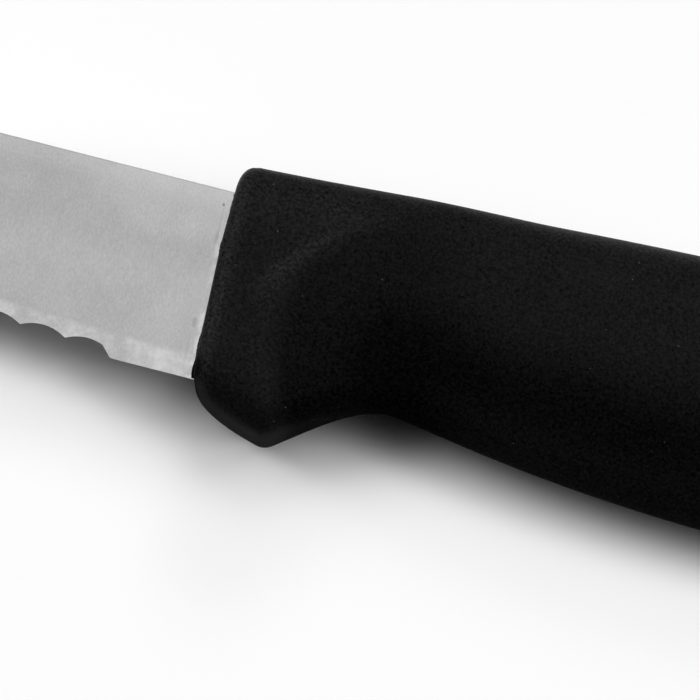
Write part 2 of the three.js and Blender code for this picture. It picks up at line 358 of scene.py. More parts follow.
class NodeSheet:
    """A material's or the world's node tree, with short ways to add and join nodes."""

    PATTERN_MIDDLE = 0.5  # of patterns that run from 0 to 1

    def __init__(self, owner: bpy.types.Material | bpy.types.World) -> None:
        """Clears the tree down to its output.

        Args:
            owner: The material or the world that gets the nodes.
        """
        self.owner = owner
        owner.use_nodes = True
        self._tree = owner.node_tree
        self._tree.nodes.clear()
        kind = "ShaderNodeOutputWorld" if isinstance(owner, bpy.types.World) else "ShaderNodeOutputMaterial"
        self.output = self.add(kind)
        self.shader: bpy.types.Node | None = None
        self.place: Socket | None = None

    @classmethod
    def of_material(cls, name: str) -> "NodeSheet":
        """Starts a new material."""
        return cls(bpy.data.materials.new(name))

    @classmethod
    def of_finish(cls, name: str) -> "NodeSheet":
        """Starts a finish, whose patterns are measured in the row frame's millimetres.

        Args:
            name: The new material's name.

        Returns:
            The material's nodes, with a shader and the patterns' place.
        """
        sheet = cls.of_material(name)
        sheet.shader = sheet.add("ShaderNodeBsdfPrincipled")
        sheet.feed(sheet.output.inputs["Surface"], sheet.shader.outputs["BSDF"])
        scaled = sheet.add("ShaderNodeVectorMath", operation="SCALE")
        sheet.feed(scaled.inputs[0], sheet.add("ShaderNodeTexCoord").outputs["Object"])
        scaled.inputs["Scale"].default_value = 1 / MM
        sheet.place = scaled.outputs["Vector"]
        return sheet

    def add(self, kind: str, **options: object) -> bpy.types.Node:
        """Adds a node and sets its options.

        Args:
            kind: The node's type.
            options: Its properties by name.

        Returns:
            The node.
        """
        node = self._tree.nodes.new(kind)
        for option, value in options.items():
            setattr(node, option, value)
        return node

    def feed(self, socket: Socket, value: Feed) -> None:
        """Joins a socket to another, or sets its number.

        Args:
            socket: The input.
            value: A result's socket or a number.
        """
        if isinstance(value, bpy.types.NodeSocket):
            self._tree.links.new(value, socket)
        else:
            socket.default_value = value

    def math(self, operation: str, *values: Feed) -> Socket:
        """Works out one step of arithmetic.

        Args:
            operation: A math node's operation.
            values: Its numbers or sockets, in order.

        Returns:
            The result's socket.
        """
        node = self.add("ShaderNodeMath", operation=operation)
        for socket, value in zip(node.inputs, values):
            self.feed(socket, value)
        return node.outputs[0]

    def total(self, *values: Feed) -> Socket:
        """Adds up any number of values.

        Args:
            values: Numbers or sockets, of which at least one is a socket.

        Returns:
            The sum's socket.
        """
        result = values[0]
        for value in values[1:]:
            result = self.math("ADD", result, value)
        return result

    def product(self, *values: Feed) -> Socket:
        """Multiplies any number of values.

        Args:
            values: Numbers or sockets, of which at least one is a socket.

        Returns:
            The product's socket.
        """
        result = values[0]
        for value in values[1:]:
            result = self.math("MULTIPLY", result, value)
        return result

    def mark(self, name: str) -> Socket:
        """Reads a value that is stored on the mesh."""
        return self.add("ShaderNodeAttribute", attribute_name=name).outputs["Fac"]

    def step(self, value: Feed, ramp: Ramp) -> Socket:
        """Follows a value along a ramp.

        Args:
            value: The value that is followed.
            ramp: The change that it makes.

        Returns:
            The result's socket.
        """
        node = self.add("ShaderNodeMapRange", interpolation_type="SMOOTHSTEP")
        for socket, given in zip(node.inputs, (value, ramp.start, ramp.end, ramp.low, ramp.high)):
            self.feed(socket, given)
        return node.outputs["Result"]

    def hump(self, value: Feed, middle: float, width: float) -> Socket:
        """Is 1 where a value is at the middle, and falls smoothly to 0 a width away."""
        away = self.math("ABSOLUTE", self.math("SUBTRACT", value, middle))
        return self.step(away, Ramp(0.0, width, 1.0, 0.0))

    def cloud(self, cloud: Cloud) -> Socket:
        """Makes a cloudy pattern.

        Args:
            cloud: Its scale and its layers.

        Returns:
            A socket from 0 to 1.
        """
        stretched = self.add("ShaderNodeVectorMath", operation="MULTIPLY")
        self.feed(stretched.inputs[0], self.place)
        stretched.inputs[1].default_value = cloud.per_mm
        node = self.add("ShaderNodeTexNoise")
        self.feed(node.inputs["Vector"], stretched.outputs["Vector"])
        node.inputs["Scale"].default_value = 1.0
        node.inputs["Detail"].default_value = cloud.detail
        node.inputs["Roughness"].default_value = cloud.roughness
        return node.outputs["Fac"]

    def swing(self, pattern: Socket, reach: float) -> Socket:
        """Turns a pattern from 0 to 1 into one that swings about 0, with a reach from end to end."""
        return self.product(self.math("SUBTRACT", pattern, self.PATTERN_MIDDLE), reach)

    def specks(self, specks: Specks) -> Socket:
        """Scatters small round specks with soft rims.

        Args:
            specks: Their size, number and tone.

        Returns:
            A socket that is the tone on a speck and 0 elsewhere.
        """
        cells = self.add("ShaderNodeTexVoronoi", feature="F1")
        self.feed(cells.inputs["Vector"], self.place)
        cells.inputs["Scale"].default_value = specks.per_mm
        rim = specks.radius * specks.per_mm
        dot = self.step(cells.outputs["Distance"], Ramp(rim / 2, rim, 1.0, 0.0))
        split = self.add("ShaderNodeSeparateColor")
        self.feed(split.inputs["Color"], cells.outputs["Color"])
        taken = self.math("LESS_THAN", split.outputs["Red"], specks.share)
        return self.product(dot, taken, specks.tone)

    def bump(self, height: Socket, depth_mm: float) -> None:
        """Raises the surface by a pattern.

        Args:
            height: The pattern, from 0 to 1.
            depth_mm: How high a step from 0 to 1 stands.
        """
        node = self.add("ShaderNodeBump")
        node.inputs["Strength"].default_value = 1.0
        node.inputs["Distance"].default_value = depth_mm * MM
        self.feed(node.inputs["Height"], height)
        self.feed(self.shader.inputs["Normal"], node.outputs["Normal"])


@dataclass(frozen=True)
class Mark:
    """A soft oval mark on the blade: its place, its half sizes, and how much lighter or darker it is."""

    front: float  # before the handle's front
    spine: float  # below the spine
    width: float
    height: float
    light: float


@dataclass(frozen=True)
class SteelFinish:
    """Satin stainless steel with a fine grain, clouds of rubbing and small marks of handling, a painted
    highlight below the spine, painted shade along its rounding and a painted reflection of the floor along
    the edge.

    A light is the share by which the steel is brighter than its tone, or darker if it is negative.
    """

    tone: float = 0.44
    roughness: float = 0.2
    uneven_roughness: float = 0.05
    grain: Cloud = Cloud((5.0, 2.5, 5.0), roughness=0.7)
    grain_depth: float = 0.0002
    grain_light: float = 0.4
    blotches: Cloud = Cloud((0.2, 0.14, 0.2))
    blotch_light: float = 0.2
    patches: Cloud = Cloud((0.5, 0.5, 0.5))
    # Painted shade along the spine's rounding.
    spine_painted_shade: Ramp = Ramp(0.08, 0.2, -0.15, 0.0)  # below the spine
    # Painted highlight fading down from the spine.
    spine_painted_highlight: Ramp = Ramp(0.2, 3.2, 0.14, 0.0)
    middle_place: float = 11.5  # of a broad band, below the spine
    middle_width: float = 5.0
    middle_light: float = 0.08
    low_light: Ramp = Ramp(9.0, 3.5, 0.0, 0.04)  # above the edge
    # Painted reflection of the floor along the edge, broken into patches.
    edge_painted_reflection: Ramp = Ramp(3.0, 2.2, 0.0, 0.2)  # close above the edge
    edge_reflection_patches: Ramp = Ramp(0.3, 0.7, 0.2, 1.8)
    border_light: Ramp = Ramp(0.3, 2.6, 0.12, 0.0)  # before the handle
    line_front: float = 0.68  # of the pale line that the mould left before the handle
    line_width: float = 0.55
    line_light: float = 0.4
    line_start: Ramp = Ramp(2.5, 7.0)  # below the spine
    line_patches: Ramp = Ramp(0.36, 0.6)
    line_course: Cloud = Cloud((0.3, 0.3, 0.3), detail=2.0, roughness=0.5)
    line_wander: float = 0.8
    mark_core: float = 0.2  # squared share of a mark's half size where it starts to fade
    mark_end: float = 1.2
    marks: tuple[Mark, ...] = (
        Mark(1.1, 1.65, 0.17, 0.2, -0.55),
        Mark(1.1, 5.4, 0.22, 0.9, -0.16),
        Mark(1.4, 15.0, 0.3, 0.75, -0.2),
        Mark(1.6, 18.5, 0.2, 2.4, -0.1),
        Mark(1.0, 3.6, 0.16, 2.2, -0.1),
        Mark(7.0, 2.5, 9.0, 5.0, 0.11),
        Mark(3.0, 16.5, 6.0, 4.5, 0.06),
    )

    def _beside_handle(self, sheet: NodeSheet, spine: Socket, patches: Socket) -> Socket:
        """Adds up the pale border, the line that the mould left and the marks.

        Args:
            sheet: The material's nodes.
            spine: The distance below the spine.
            patches: The pattern that breaks up the line.

        Returns:
            The light's socket.
        """
        front = sheet.mark("front_mm")
        astray = sheet.total(front, sheet.swing(sheet.cloud(self.line_course), self.line_wander))
        line = sheet.product(
            sheet.hump(astray, self.line_front, self.line_width),
            sheet.step(spine, self.line_start),
            sheet.step(patches, self.line_patches),
            self.line_light,
        )
        lights = [sheet.step(front, self.border_light), line]
        for mark in self.marks:
            across = sheet.math("DIVIDE", sheet.math("SUBTRACT", front, mark.front), mark.width)
            along = sheet.math("DIVIDE", sheet.math("SUBTRACT", spine, mark.spine), mark.height)
            away = sheet.total(sheet.product(across, across), sheet.product(along, along))
            lights.append(sheet.step(away, Ramp(self.mark_core, self.mark_end, mark.light, 0.0)))
        return sheet.total(*lights)

    def material(self) -> bpy.types.Material:
        """Builds the material from its node tree.

        Returns:
            The finished material.
        """
        sheet = NodeSheet.of_finish("satin_ground_steel")
        spine, edge = sheet.mark("spine_mm"), sheet.mark("edge_mm")
        grain, patches = sheet.cloud(self.grain), sheet.cloud(self.patches)
        # The steel's own bands, grain, blotches and marks, with a painted highlight below the spine, painted
        # shade along its rounding and a painted reflection along the edge.
        light = sheet.total(
            1.0,
            sheet.step(spine, self.spine_painted_highlight),
            sheet.product(sheet.hump(spine, self.middle_place, self.middle_width), self.middle_light),
            sheet.step(edge, self.low_light),
            sheet.product(sheet.step(edge, self.edge_painted_reflection), sheet.step(patches, self.edge_reflection_patches)),
            sheet.swing(grain, self.grain_light),
            sheet.swing(sheet.cloud(self.blotches), self.blotch_light),
            sheet.step(spine, self.spine_painted_shade),
            self._beside_handle(sheet, spine, patches),
        )
        sheet.feed(sheet.shader.inputs["Base Color"], sheet.product(light, self.tone))
        uneven = [sheet.swing(pattern, self.uneven_roughness) for pattern in (grain, patches)]
        sheet.feed(sheet.shader.inputs["Roughness"], sheet.total(self.roughness, *uneven))
        sheet.shader.inputs["Metallic"].default_value = 1.0
        sheet.bump(grain, self.grain_depth)
        return sheet.owner


@dataclass(frozen=True)
class PlasticFinish:
    """Black moulded plastic with a fine grain, rubbed grey along its ridges with painted highlights there and
    along its rims, painted shade in the scoop and along the lower grip, and a dark spot at the heel.
    """

    tone: float = 0.0058
    # Lighter tone of the rubbed places, which also paints highlights along the crease, the front rim and the
    # back, and light on the guard's upper flank.
    worn_and_painted_light_tone: float = 0.017
    least_tone: float = 0.0002
    roughness: float = 0.5
    worn_roughness: float = 0.44
    uneven_roughness: float = 0.1
    shine: float = 0.03
    matt_shine: float = 0.003
    painted_shade_share: float = 0.25  # of the tone and the shine that is kept under the painted shade and the heel's dark spot
    grain: Cloud = Cloud((3.0, 3.0, 3.0))
    grain_depth: float = 0.06
    grain_light: float = 2.6
    grain_wear_and_painted_light: Ramp = Ramp(0.3, 0.7, 0.5, 1.0)  # more on the grain's hills than in its hollows
    grain_shine: Ramp = Ramp(0.3, 0.7, 0.7, 1.3)
    clouds: Cloud = Cloud((0.12, 0.12, 0.12), detail=2.0, roughness=0.5)
    cloud_light: float = 0.5
    grit: Cloud = Cloud((2.7, 2.7, 2.7), roughness=0.7)
    grit_tone: float = 0.014  # also shows where the plastic is dark
    dust: Specks = Specks(per_mm=0.5, radius=0.11, share=0.7, tone=0.06)

    def material(self) -> bpy.types.Material:
        """Builds the material from its node tree.

        Returns:
            The finished material.
        """
        sheet = NodeSheet.of_finish("grained_black_plastic")
        # Painted shade and the heel's dark spot cut down the tone and the shine; the rubbed places get a
        # lighter tone that is partly painted highlight.
        left = sheet.step(sheet.mark("painted_shade_and_heel_spot"), Ramp(0.0, 1.0, 1.0, self.painted_shade_share))
        grain, clouds = sheet.cloud(self.grain), sheet.cloud(self.clouds)
        worn_and_painted_light = sheet.product(sheet.mark("wear_and_painted_light"), sheet.step(grain, self.grain_wear_and_painted_light))
        uneven = sheet.total(1.0, sheet.swing(grain, self.grain_light), sheet.swing(clouds, self.cloud_light))
        tone = sheet.total(
            sheet.product(uneven, left, sheet.step(worn_and_painted_light, Ramp(0.0, 1.0, self.tone, self.worn_and_painted_light_tone))),
            sheet.swing(sheet.cloud(self.grit), self.grit_tone),
            sheet.specks(self.dust),
        )
        sheet.feed(sheet.shader.inputs["Base Color"], sheet.math("MAXIMUM", tone, self.least_tone))
        rough = sheet.total(
            sheet.step(worn_and_painted_light, Ramp(0.0, 1.0, self.roughness, self.worn_roughness)),
            sheet.swing(clouds, self.uneven_roughness),
        )
        sheet.feed(sheet.shader.inputs["Roughness"], rough)
        shine = sheet.step(sheet.mark("matt"), Ramp(0.0, 1.0, self.shine, self.matt_shine))
        specular = sheet.shader.inputs["Specular IOR Level"]
        specular.default_value = self.shine
        sheet.feed(specular, sheet.product(left, shine, sheet.step(grain, self.grain_shine)))
        sheet.bump(grain, self.grain_depth)
        return sheet.owner


@dataclass
class Blade:
    """The steel strip: blade, scalloped edge and the hidden tang."""

    length: float = 150.0
    height: float = 21.3
    spine_thickness: float = 1.6
    bevel_thickness: float = 1.25
    edge_thickness: float = 0.25
    edge_controls: tuple[tuple[float, float], ...] = ((0.14, 0.36), (0.53, 0.13))  # shares of length and rise
    bevel_height: float = 2.4
    spine_drop: float = 2.0
    spine_drop_length: float = 55.0
    spine_round: float = 0.07
    spine_worn: float = 0.2  # lower than in the CAD
    tip_height: float = 0.7
    heel_seat: float = 5.0
    heel_plain: float = 8.0
    scallop_pitch: float = 5.12
    scallop_radius: float = 15.6
    scallop_depth: float = 1.4
    scallop_overrun: float = 2.5
    scallop_tilt_deg: float = 17.0
    rib_half_deg: float = 30.0  # that the wheel's rib spans to each side
    rib_spare: float = 1.5  # how far the rib reaches through the blade, in thicknesses
    heel_step_setback: float = 1.6  # from the first scallop's middle
    heel_step_run: float = 6.0
    first_scallop: float = 0.656  # share of a pitch from the plain heel to the first scallop's middle
    last_scallop_height: float = 7.0
    tang_top: float = 3.0
    tang_height: float = 12.5
    tang_taper: float = 2.5
    tang_end: float = 98.0
    tang_hole_diameter: float = 6.0
    tang_hole_count: int = 3
    column_step: float = 1.0
    column_crowding: float = 1.2  # more than 1 crowds the columns at the tip
    bevel_rows: int = 4
    side_rows: int = 20
    round_rows: int = 12
    rib_rows: int = 32
    corner_rows: int = 8
    hole_sides: int = 48
    sharp_deg: float = 8.0
    finish: SteelFinish = field(default_factory=SteelFinish)

    def __post_init__(self) -> None:
        """Draws the spine and the plain edge."""
        self.heel_y = -self.height
        self.tip_x = -self.length
        spine_y, tip_y = -self.spine_worn, -self.spine_drop
        low = tip_y - self.tip_height
        rise = low - self.heel_y
        drop_end = self.tip_x + self.spine_drop_length
        self.spine = (
            Outline(self.tip_x, tip_y)
            .curve((self.tip_x + self.spine_drop_length / 2, spine_y), (drop_end, spine_y))
            .line(self.heel_seat, spine_y)
        )
        self.edge = (
            Outline(self.tip_x, low)
            .curve(
                *((self.tip_x + self.length * x, self.heel_y + rise * y) for x, y in self.edge_controls),
                (-self.heel_plain, self.heel_y),
            )
            .line(self.heel_seat, self.heel_y)
        )

    def side_half(self, y: Array) -> Array:
        """Gives half the thickness at a height, where the left face is one flat plane down to the edge."""
        taper = (self.spine_thickness - self.bevel_thickness) / (self.height - self.bevel_height)
        return (self.spine_thickness + taper * y) / 2

    def bevel_top(self, x: Array) -> Array:
        """Gives how high the edge bevel reaches above the edge."""
        return np.minimum(self.bevel_height, (self.spine.at(x) - self.edge.at(x)) / 2)

    def right_face(self, x: float, y: Array) -> Array:
        """Gives the right face, with its bevel down to the edge.

        Args:
            x: A place along the blade.
            y: Heights there.

        Returns:
            The face's z at each height.
        """
        edge, rise = self.edge.at(x), self.bevel_top(x)
        ground = self.side_half(edge) - self.edge_thickness
        share = np.clip((y - edge) / rise, 0, 1)
        return np.where(share < 1, lerp(ground, -self.side_half(edge + rise), share), -self.side_half(y))

    def _ring(self, x: float, grow: float) -> Array:
        """Draws one cross-section.

        Args:
            x: Its place along the blade.
            grow: A clearance that it is grown by all round.

        Returns:
            The ring's points, up the right side, over the spine and down the left side.
        """
        spine, edge = float(self.spine.at(x)) + grow, float(self.edge.at(x)) - grow
        bevel = float(self.edge.at(x) + self.bevel_top(x))
        shoulder = spine - self.spine_round
        below_shoulder = shoulder - self.spine_round / 4
        side = lerp(bevel, below_shoulder, np.linspace(0, 1, self.side_rows + 1)[1:])
        low = np.concatenate([lerp(edge, bevel, np.linspace(0, 1, self.bevel_rows + 1)), side, [shoulder]])
        turn = np.linspace(0, math.pi / 2, self.round_rows + 1)[1:]
        high = spine - self.spine_round * (1 - np.sin(turn))
        top = self.side_half(shoulder) + grow - self.spine_round * (1 - np.cos(turn))
        y = np.concatenate([low, high])
        right = np.concatenate([self.right_face(x, low) - grow, -top])
        left = np.concatenate([self.side_half(low) + grow, top])
        up_right, up_left = (np.column_stack([np.full(len(y), x), y, z]) for z in (right, left))
        return np.concatenate([up_right, up_left[::-1]])

    def _body(self) -> bpy.types.Object:
        """Skins the blade from the tip to its seat in the handle.

        Returns:
            A closed mesh object.
        """
        steps = round(self.length / self.column_step)
        places = [self.tip_x + self.length * (i / steps) ** self.column_crowding for i in range(steps + 1)]
        return Solids.skin("blade_steel", np.stack([self._ring(x, 0) for x in [*places, self.heel_seat]]))

    def mouth(self, grow: float) -> bpy.types.Object:
        """Makes the slot that the blade's seat needs in the handle, with a clearance."""
        ends = (-self.heel_seat, self.heel_seat + grow)
        return Solids.skin("mouth", np.stack([self._ring(x, grow) for x in ends]))

    def tang(self, grow: float) -> bpy.types.Object:
        """Makes the tapered tongue with its round holes.

        Args:
            grow: A clearance that it is grown by all round.

        Returns:
            A closed mesh object.
        """
        top, bottom = -self.tang_top + grow, -self.tang_top - self.tang_height - grow
        end_top, end_bottom = top - self.tang_taper / 2, bottom + self.tang_taper / 2
        end = self.tang_end + grow
        corner = (end_top - end_bottom) / 4
        turn = np.linspace(0, math.pi / 2, self.corner_rows + 1)
        sine, cosine = corner * np.sin(turn), corner * np.cos(turn)
        lower = np.column_stack([end - corner + sine, end_bottom + corner - cosine])
        upper = np.column_stack([end - corner + cosine, end_top - corner + sine])
        outline = np.concatenate([[[0, bottom]], lower, upper, [[0, top]]])
        half = self.spine_thickness / 2 + grow
        plate = Solids.prism("tang", outline, -half, half)
        spacing = self.tang_end / (self.tang_hole_count + 0.5)  # with half a spacing behind the last hole
        circle = np.linspace(0, 2 * math.pi, self.hole_sides, endpoint=False)
        radius = self.tang_hole_diameter / 2 - grow
        round_hole = radius * np.column_stack([np.cos(circle), np.sin(circle)])
        holes = []
        for i in range(1, self.tang_hole_count + 1):
            place = [i * spacing, (top + bottom) / 2]
            holes.append(Solids.prism(f"tang_hole_{i}", round_hole + place, -2 * half, 2 * half))
        Solids.combine(plate, holes, Change.CUT)
        return plate

    def _scallop(self, x: float, at_wheel_end: bool) -> bpy.types.Object:
        """Makes the wheel's rib that grinds one scallop from the right face.

        Args:
            x: The scallop's middle.
            at_wheel_end: True for the rib with the slanting flank that leaves a step towards the heel.

        Returns:
            A closed mesh object, lying along the hollow that it leaves.
        """
        tilt = math.radians(self.scallop_tilt_deg)
        half = math.radians(self.rib_half_deg)
        end = math.asin(self.heel_step_setback / self.scallop_radius) if at_wheel_end else half
        turn = np.linspace(-half, end, self.rib_rows + 1)
        rib = self.scallop_radius * np.column_stack([np.sin(turn), 1 - np.cos(turn)])
        if at_wheel_end:
            flank = [self.heel_step_run, self.heel_step_run * math.sin(tilt)]
            rib = np.concatenate([rib, rib[-1:] + flank])
        above = self.rib_spare * self.spine_thickness / math.sin(tilt)
        cutter = Solids.prism("scallop", rib, -self.scallop_overrun, above)
        before, after = x - self.scallop_pitch / 2, x + self.scallop_pitch / 2
        along = Vector((after - before, float(self.edge.at(after) - self.edge.at(before)), 0)).normalized()
        up = Vector((-along.y, along.x, 0))
        side = Vector((0, 0, 1))
        outward = -math.sin(tilt) * up - math.cos(tilt) * side
        hollow = math.cos(tilt) * up - math.sin(tilt) * side
        edge_y = float(self.edge.at(x))
        left_face = self.side_half(edge_y + self.scallop_depth)
        floor = Vector((x, edge_y, left_face)) + up * self.scallop_depth
        turned = Matrix((along, outward, hollow)).transposed().to_4x4()
        cutter.data.transform(Matrix.Translation(floor) @ turned)
        return cutter

    def _scallop_places(self) -> list[float]:
        """Lists the middles of the scallops, from the heel to where the blade gets low.

        Returns:
            Their places along the blade.
        """
        places = []
        x = -self.heel_plain - self.scallop_pitch * self.first_scallop
        while self.spine.at(x) - self.edge.at(x) > self.last_scallop_height:
            places.append(x)
            x -= self.scallop_pitch
        return places

    @staticmethod
    def front_distance(points: Array, lean_deg: float, step: float) -> Array:
        """Gives how far points lie before the handle's front.

        Args:
            points: Rows of x, y and z.
            lean_deg: How far the handle's front leans back.
            step: How far the handle's back stands above the spine.

        Returns:
            One distance for each point.
        """
        return math.tan(math.radians(lean_deg)) * (step - points[:, 1]) - points[:, 0]

    def build(self, axes: KnifeAxes, lean_deg: float, step: float) -> bpy.types.Object:
        """Builds and dresses the blade.

        Args:
            axes: Where the knife lies.
            lean_deg: How far the handle's front leans back.
            step: How far the handle's back stands above the spine.

        Returns:
            The finished piece.
        """
        blade = self._body()
        places = self._scallop_places()
        Solids.combine(blade, [self._scallop(x, x == places[0]) for x in places], Change.CUT)
        Solids.combine(blade, [self.tang(0)], Change.ADD)
        points = Solids.points(blade)
        Solids.mark(blade, "spine_mm", self.spine.at(points[:, 0]) - points[:, 1])
        Solids.mark(blade, "edge_mm", points[:, 1] - self.edge.at(points[:, 0]))
        Solids.mark(blade, "front_mm", self.front_distance(points, lean_deg, step))
        Solids.place(blade, axes, self.sharp_deg)
        blade.data.materials.clear()
        blade.data.materials.append(self.finish.material())
        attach(blade, "root")
        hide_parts("serrated_blade")
        return blade


@dataclass(frozen=True)
class Section:
    """A cross-section of the handle.

    back and belly say how square each half is, from 1 for a wedge over 2 for an oval to 8 for a box. widest
    is the level of the widest point, and flat the share of the half width that is planed off.
    """

    back: float
    belly: float
    widest: float
    flat: float = 0.0


@dataclass(frozen=True)
class Line:
    """A line across the handle that the skin is drawn through, with its place and half width at a level.

    steps, change and creased are those of the stretch that ends at the line.
    """

    place: AlongLevel
    half: AlongLevel
    section: Section
    steps: int = 0
    change: Easing = Easing.STEADY
    creased: bool = False


@dataclass(frozen=True)
class HandleWearAndPaintedLight:
    """Where the handle is lighter: rubbed along the crease and the butt, with a painted highlight along the
    crease, the front rim and the back and painted light on the guard's upper flank. Where it is darker:
    painted shade in the scoop, at the finger's place and along the lower grip, and a dark spot at the heel
    corner. And where it is still matt.

    Levels run from 0 at the belly to 1 at the back. Other places are in millimetres.
    """

    # Rubbed strip with a painted highlight along the crease.
    crease: float = 0.7
    crease_before: float = 2.2  # width of the rubbed strip with its painted highlight before the crease
    crease_behind: float = 1.0
    crease_rise: Ramp = Ramp(0.38, 0.6, 0.15, 1.0)  # with the level
    crease_fade: Ramp = Ramp(0.74, 0.9, 1.0, 0.0)
    # Painted highlight along the front rim.
    rim: Hill = Hill(0.5, 1.4)  # behind the front
    rim_half: float = 6.0  # from the mid-plane to where the rim is rubbed in full
    rim_power: int = 4
    # Painted highlight along the back's top edge.
    back: float = 0.5
    back_strip: Hill = Hill(0.0, 2.6)  # below the back
    # Painted light on the guard's upper flank.
    corner: Ramp = Ramp(0.6, 0.85, 0.0, 0.4)  # with the level
    corner_fade: Ramp = Ramp(12.0, 24.0, 1.0, 0.0)  # along the handle
    butt: float = 0.4
    butt_strip: Hill = Hill(1.0, 1.2)  # before the end
    # Painted shade in the scoop, at the finger's place and along the lower grip.
    scoop: float = 0.75
    scoop_loss: float = 0.5  # from the belly to the back
    scoop_start: Ramp = Ramp(0.5, 3.5)  # behind the crease
    scoop_end: Ramp = Ramp(34.0, 20.0)  # along the handle
    finger: float = 0.85
    finger_x: float = 23.6  # of the finger's place, at the belly
    finger_slant: float = 9.6
    finger_width: float = 4.4
    finger_fade: Ramp = Ramp(0.2, 0.6, 1.0, 0.0)  # with the level
    palm: float = 0.75
    palm_strip: Hill = Hill(0.25, 0.22)  # with the level
    palm_start: Ramp = Ramp(19.6, 27.6)  # along the handle
    # A dark spot at the heel corner.
    heel: float = 0.9
    heel_strip: Hill = Hill(0.3, 0.6)  # behind the front
    heel_width: float = 1.5
    matt: Ramp = Ramp(0.05, 0.15, 1.0, 0.0)  # with the level


@dataclass
class Handle:
    """The plastic moulded round the tang: guard, finger scoop, grip and butt."""

    length: float = 125.0
    front_lean_deg: float = 2.4
    front_bend: float = 0.27  # further back near the spine
    front_bend_levels: Ramp = Ramp(0.6, 0.9)
    back_step: float = 2.3
    back_corner_radius: float = 2.6
    corner_lip: float = 0.13  # above the CAD's back
    back_crest_rise: float = 3.8
    back_crest_setback: float = 84.0
    butt_top_drop: float = 2.6
    butt_radius: float = 5.0
    guard_drop: float = 4.72
    guard_setback: float = 10.0
    guard_round: float = 1.1
    notch_rise: float = 1.6
    notch_setback: float = 22.5
    palm_drop: float = 2.25
    palm_setback: float = 66.0
    waist_drop: float = 0.5
    waist_to_butt: float = 22.0
    butt_drop: float = 2.6
    guard_width: float = 18.0
    neck_width: float = 13.4
    palm_width: float = 18.0
    waist_width: float = 15.4
    butt_width: float = 17.0
    front_edge_radius: float = 1.2
    butt_edge_radius: float = 3.4
    crease_setback: float = 6.6
    crease_level: float = 0.45
    crease_top_setback: float = 19.6
    crease_top_level: float = 0.93
    crease_bow: float = 2.0
    crease_round: float = 1.3
    flank_dish: float = 0.12
    flank_dish_width: float = 1.5
    flank_dish_start: float = 2.0  # length over which it deepens behind the front edge
    scoop_slant: float = 13.0
    scoop_fade: float = 1.9
    belly_clearance: float = 0.3
    seat_clearance: float = 0.03
    flash_reach: float = 0.39
    flash_raggedness: float = 0.16
    flash_coarse: float = 1.5  # shares of the raggedness
    flash_fine: float = 0.35
    flash_bare: float = 0.35
    flash_limits: tuple[float, float] = (0.02, 1.2)
    flash_thickness: float = 0.07
    flash_lift: float = 0.005  # off the blade
    flash_root: float = 0.5  # inside the handle
    flash_top_share: float = 0.6  # of its reach that has its full thickness
    flash_heel_gap: float = 0.1
    flash_spine_gap: float = 0.4
    flash_lump: float = 0.06
    flash_lump_rises: tuple[float, ...] = (0.6, 2.2)  # above the heel
    flash_lump_width: float = 0.4
    flash_rows: int = 120
    flash_lump_rows: int = 6
    flash_seed: int = 7
    rows: int = 96
    row_crowding: float = 2.8
    least_height: float = 0.1  # that levels are measured on, where the front and the butt run out
    sharp_deg: float = 35.0
    # Rubbing, painted highlights, painted light, painted shade, the heel's dark spot, and where the skin is
    # matt.
    painted_light_and_wear: HandleWearAndPaintedLight = field(default_factory=HandleWearAndPaintedLight)
    finish: PlasticFinish = field(default_factory=PlasticFinish)

    def outline(self, blade: Blade) -> None:
        """Draws the back and the belly above and below the blade.

        The plain shares in it place the controls of the curves along their runs.

        Args:
            blade: The blade that the handle is moulded round.
        """
        heel, lean = blade.heel_y, math.tan(math.radians(self.front_lean_deg))
        self.front_height = blade.height + self.back_step
        self.front_run = lean * self.front_height
        crest = self.back_step + self.back_crest_rise
        butt_x, butt_top = self.length - self.butt_radius, crest - self.butt_top_drop
        corner, corner_top = self.back_corner_radius, self.back_step + self.corner_lip
        run, fall = self.back_crest_setback - corner, butt_x - self.back_crest_setback
        self.waist_x = self.length - self.waist_to_butt
        self.back = (
            Outline(self.front_bend, self.back_step - corner)
            .curve((self.front_bend, corner_top), (corner, corner_top))
            .curve(
                (corner + run * 0.3, self.back_step + self.back_crest_rise * 0.4),
                (self.back_crest_setback - run * 0.43, crest),
                (self.back_crest_setback, crest),
            )
            .curve(
                (self.back_crest_setback + fall * 0.45, crest),
                (butt_x - fall * 0.35, butt_top + self.butt_top_drop * 0.35),
                (butt_x, butt_top),
            )
            .curve(
                (self.length, butt_top - self.butt_top_drop / 2),
                (self.length, butt_top - self.butt_radius),
            )
        )
        guard, notch = heel - self.guard_drop, heel + self.notch_rise
        tip, guard_run = self.guard_round, self.notch_setback - self.guard_setback
        butt_low = heel - self.butt_drop
        self.belly = (
            Outline(self.front_run, heel - self.belly_clearance)
            .curve(
                (self.front_run + self.guard_setback * 0.1, heel - self.guard_drop * 0.6),
                (self.guard_setback - tip, guard + tip * 0.1),
            )
            .curve((self.guard_setback, guard - tip * 0.2), (self.guard_setback + tip, guard + tip * 0.7))
            .curve(
                (self.guard_setback + guard_run * 0.34, guard + (notch - guard) * 0.48),
                (self.notch_setback - guard_run * 0.31, notch),
                (self.notch_setback, notch),
            )
            .level_curve(self.palm_setback, heel - self.palm_drop, leave=0.06, arrive=0.62)
            .level_curve(self.waist_x, heel - self.waist_drop, leave=0.4, arrive=0.4)
            .level_curve(butt_x, butt_low, leave=0.45, arrive=0.3)
            .curve((self.length, butt_low), (self.length, butt_low + self.butt_radius))
        )

    def front_x(self, level: Array) -> Array:
        """Gives the front's place at a level."""
        return self.front_run * (1 - level) + self.front_bend * self.front_bend_levels.at(level)

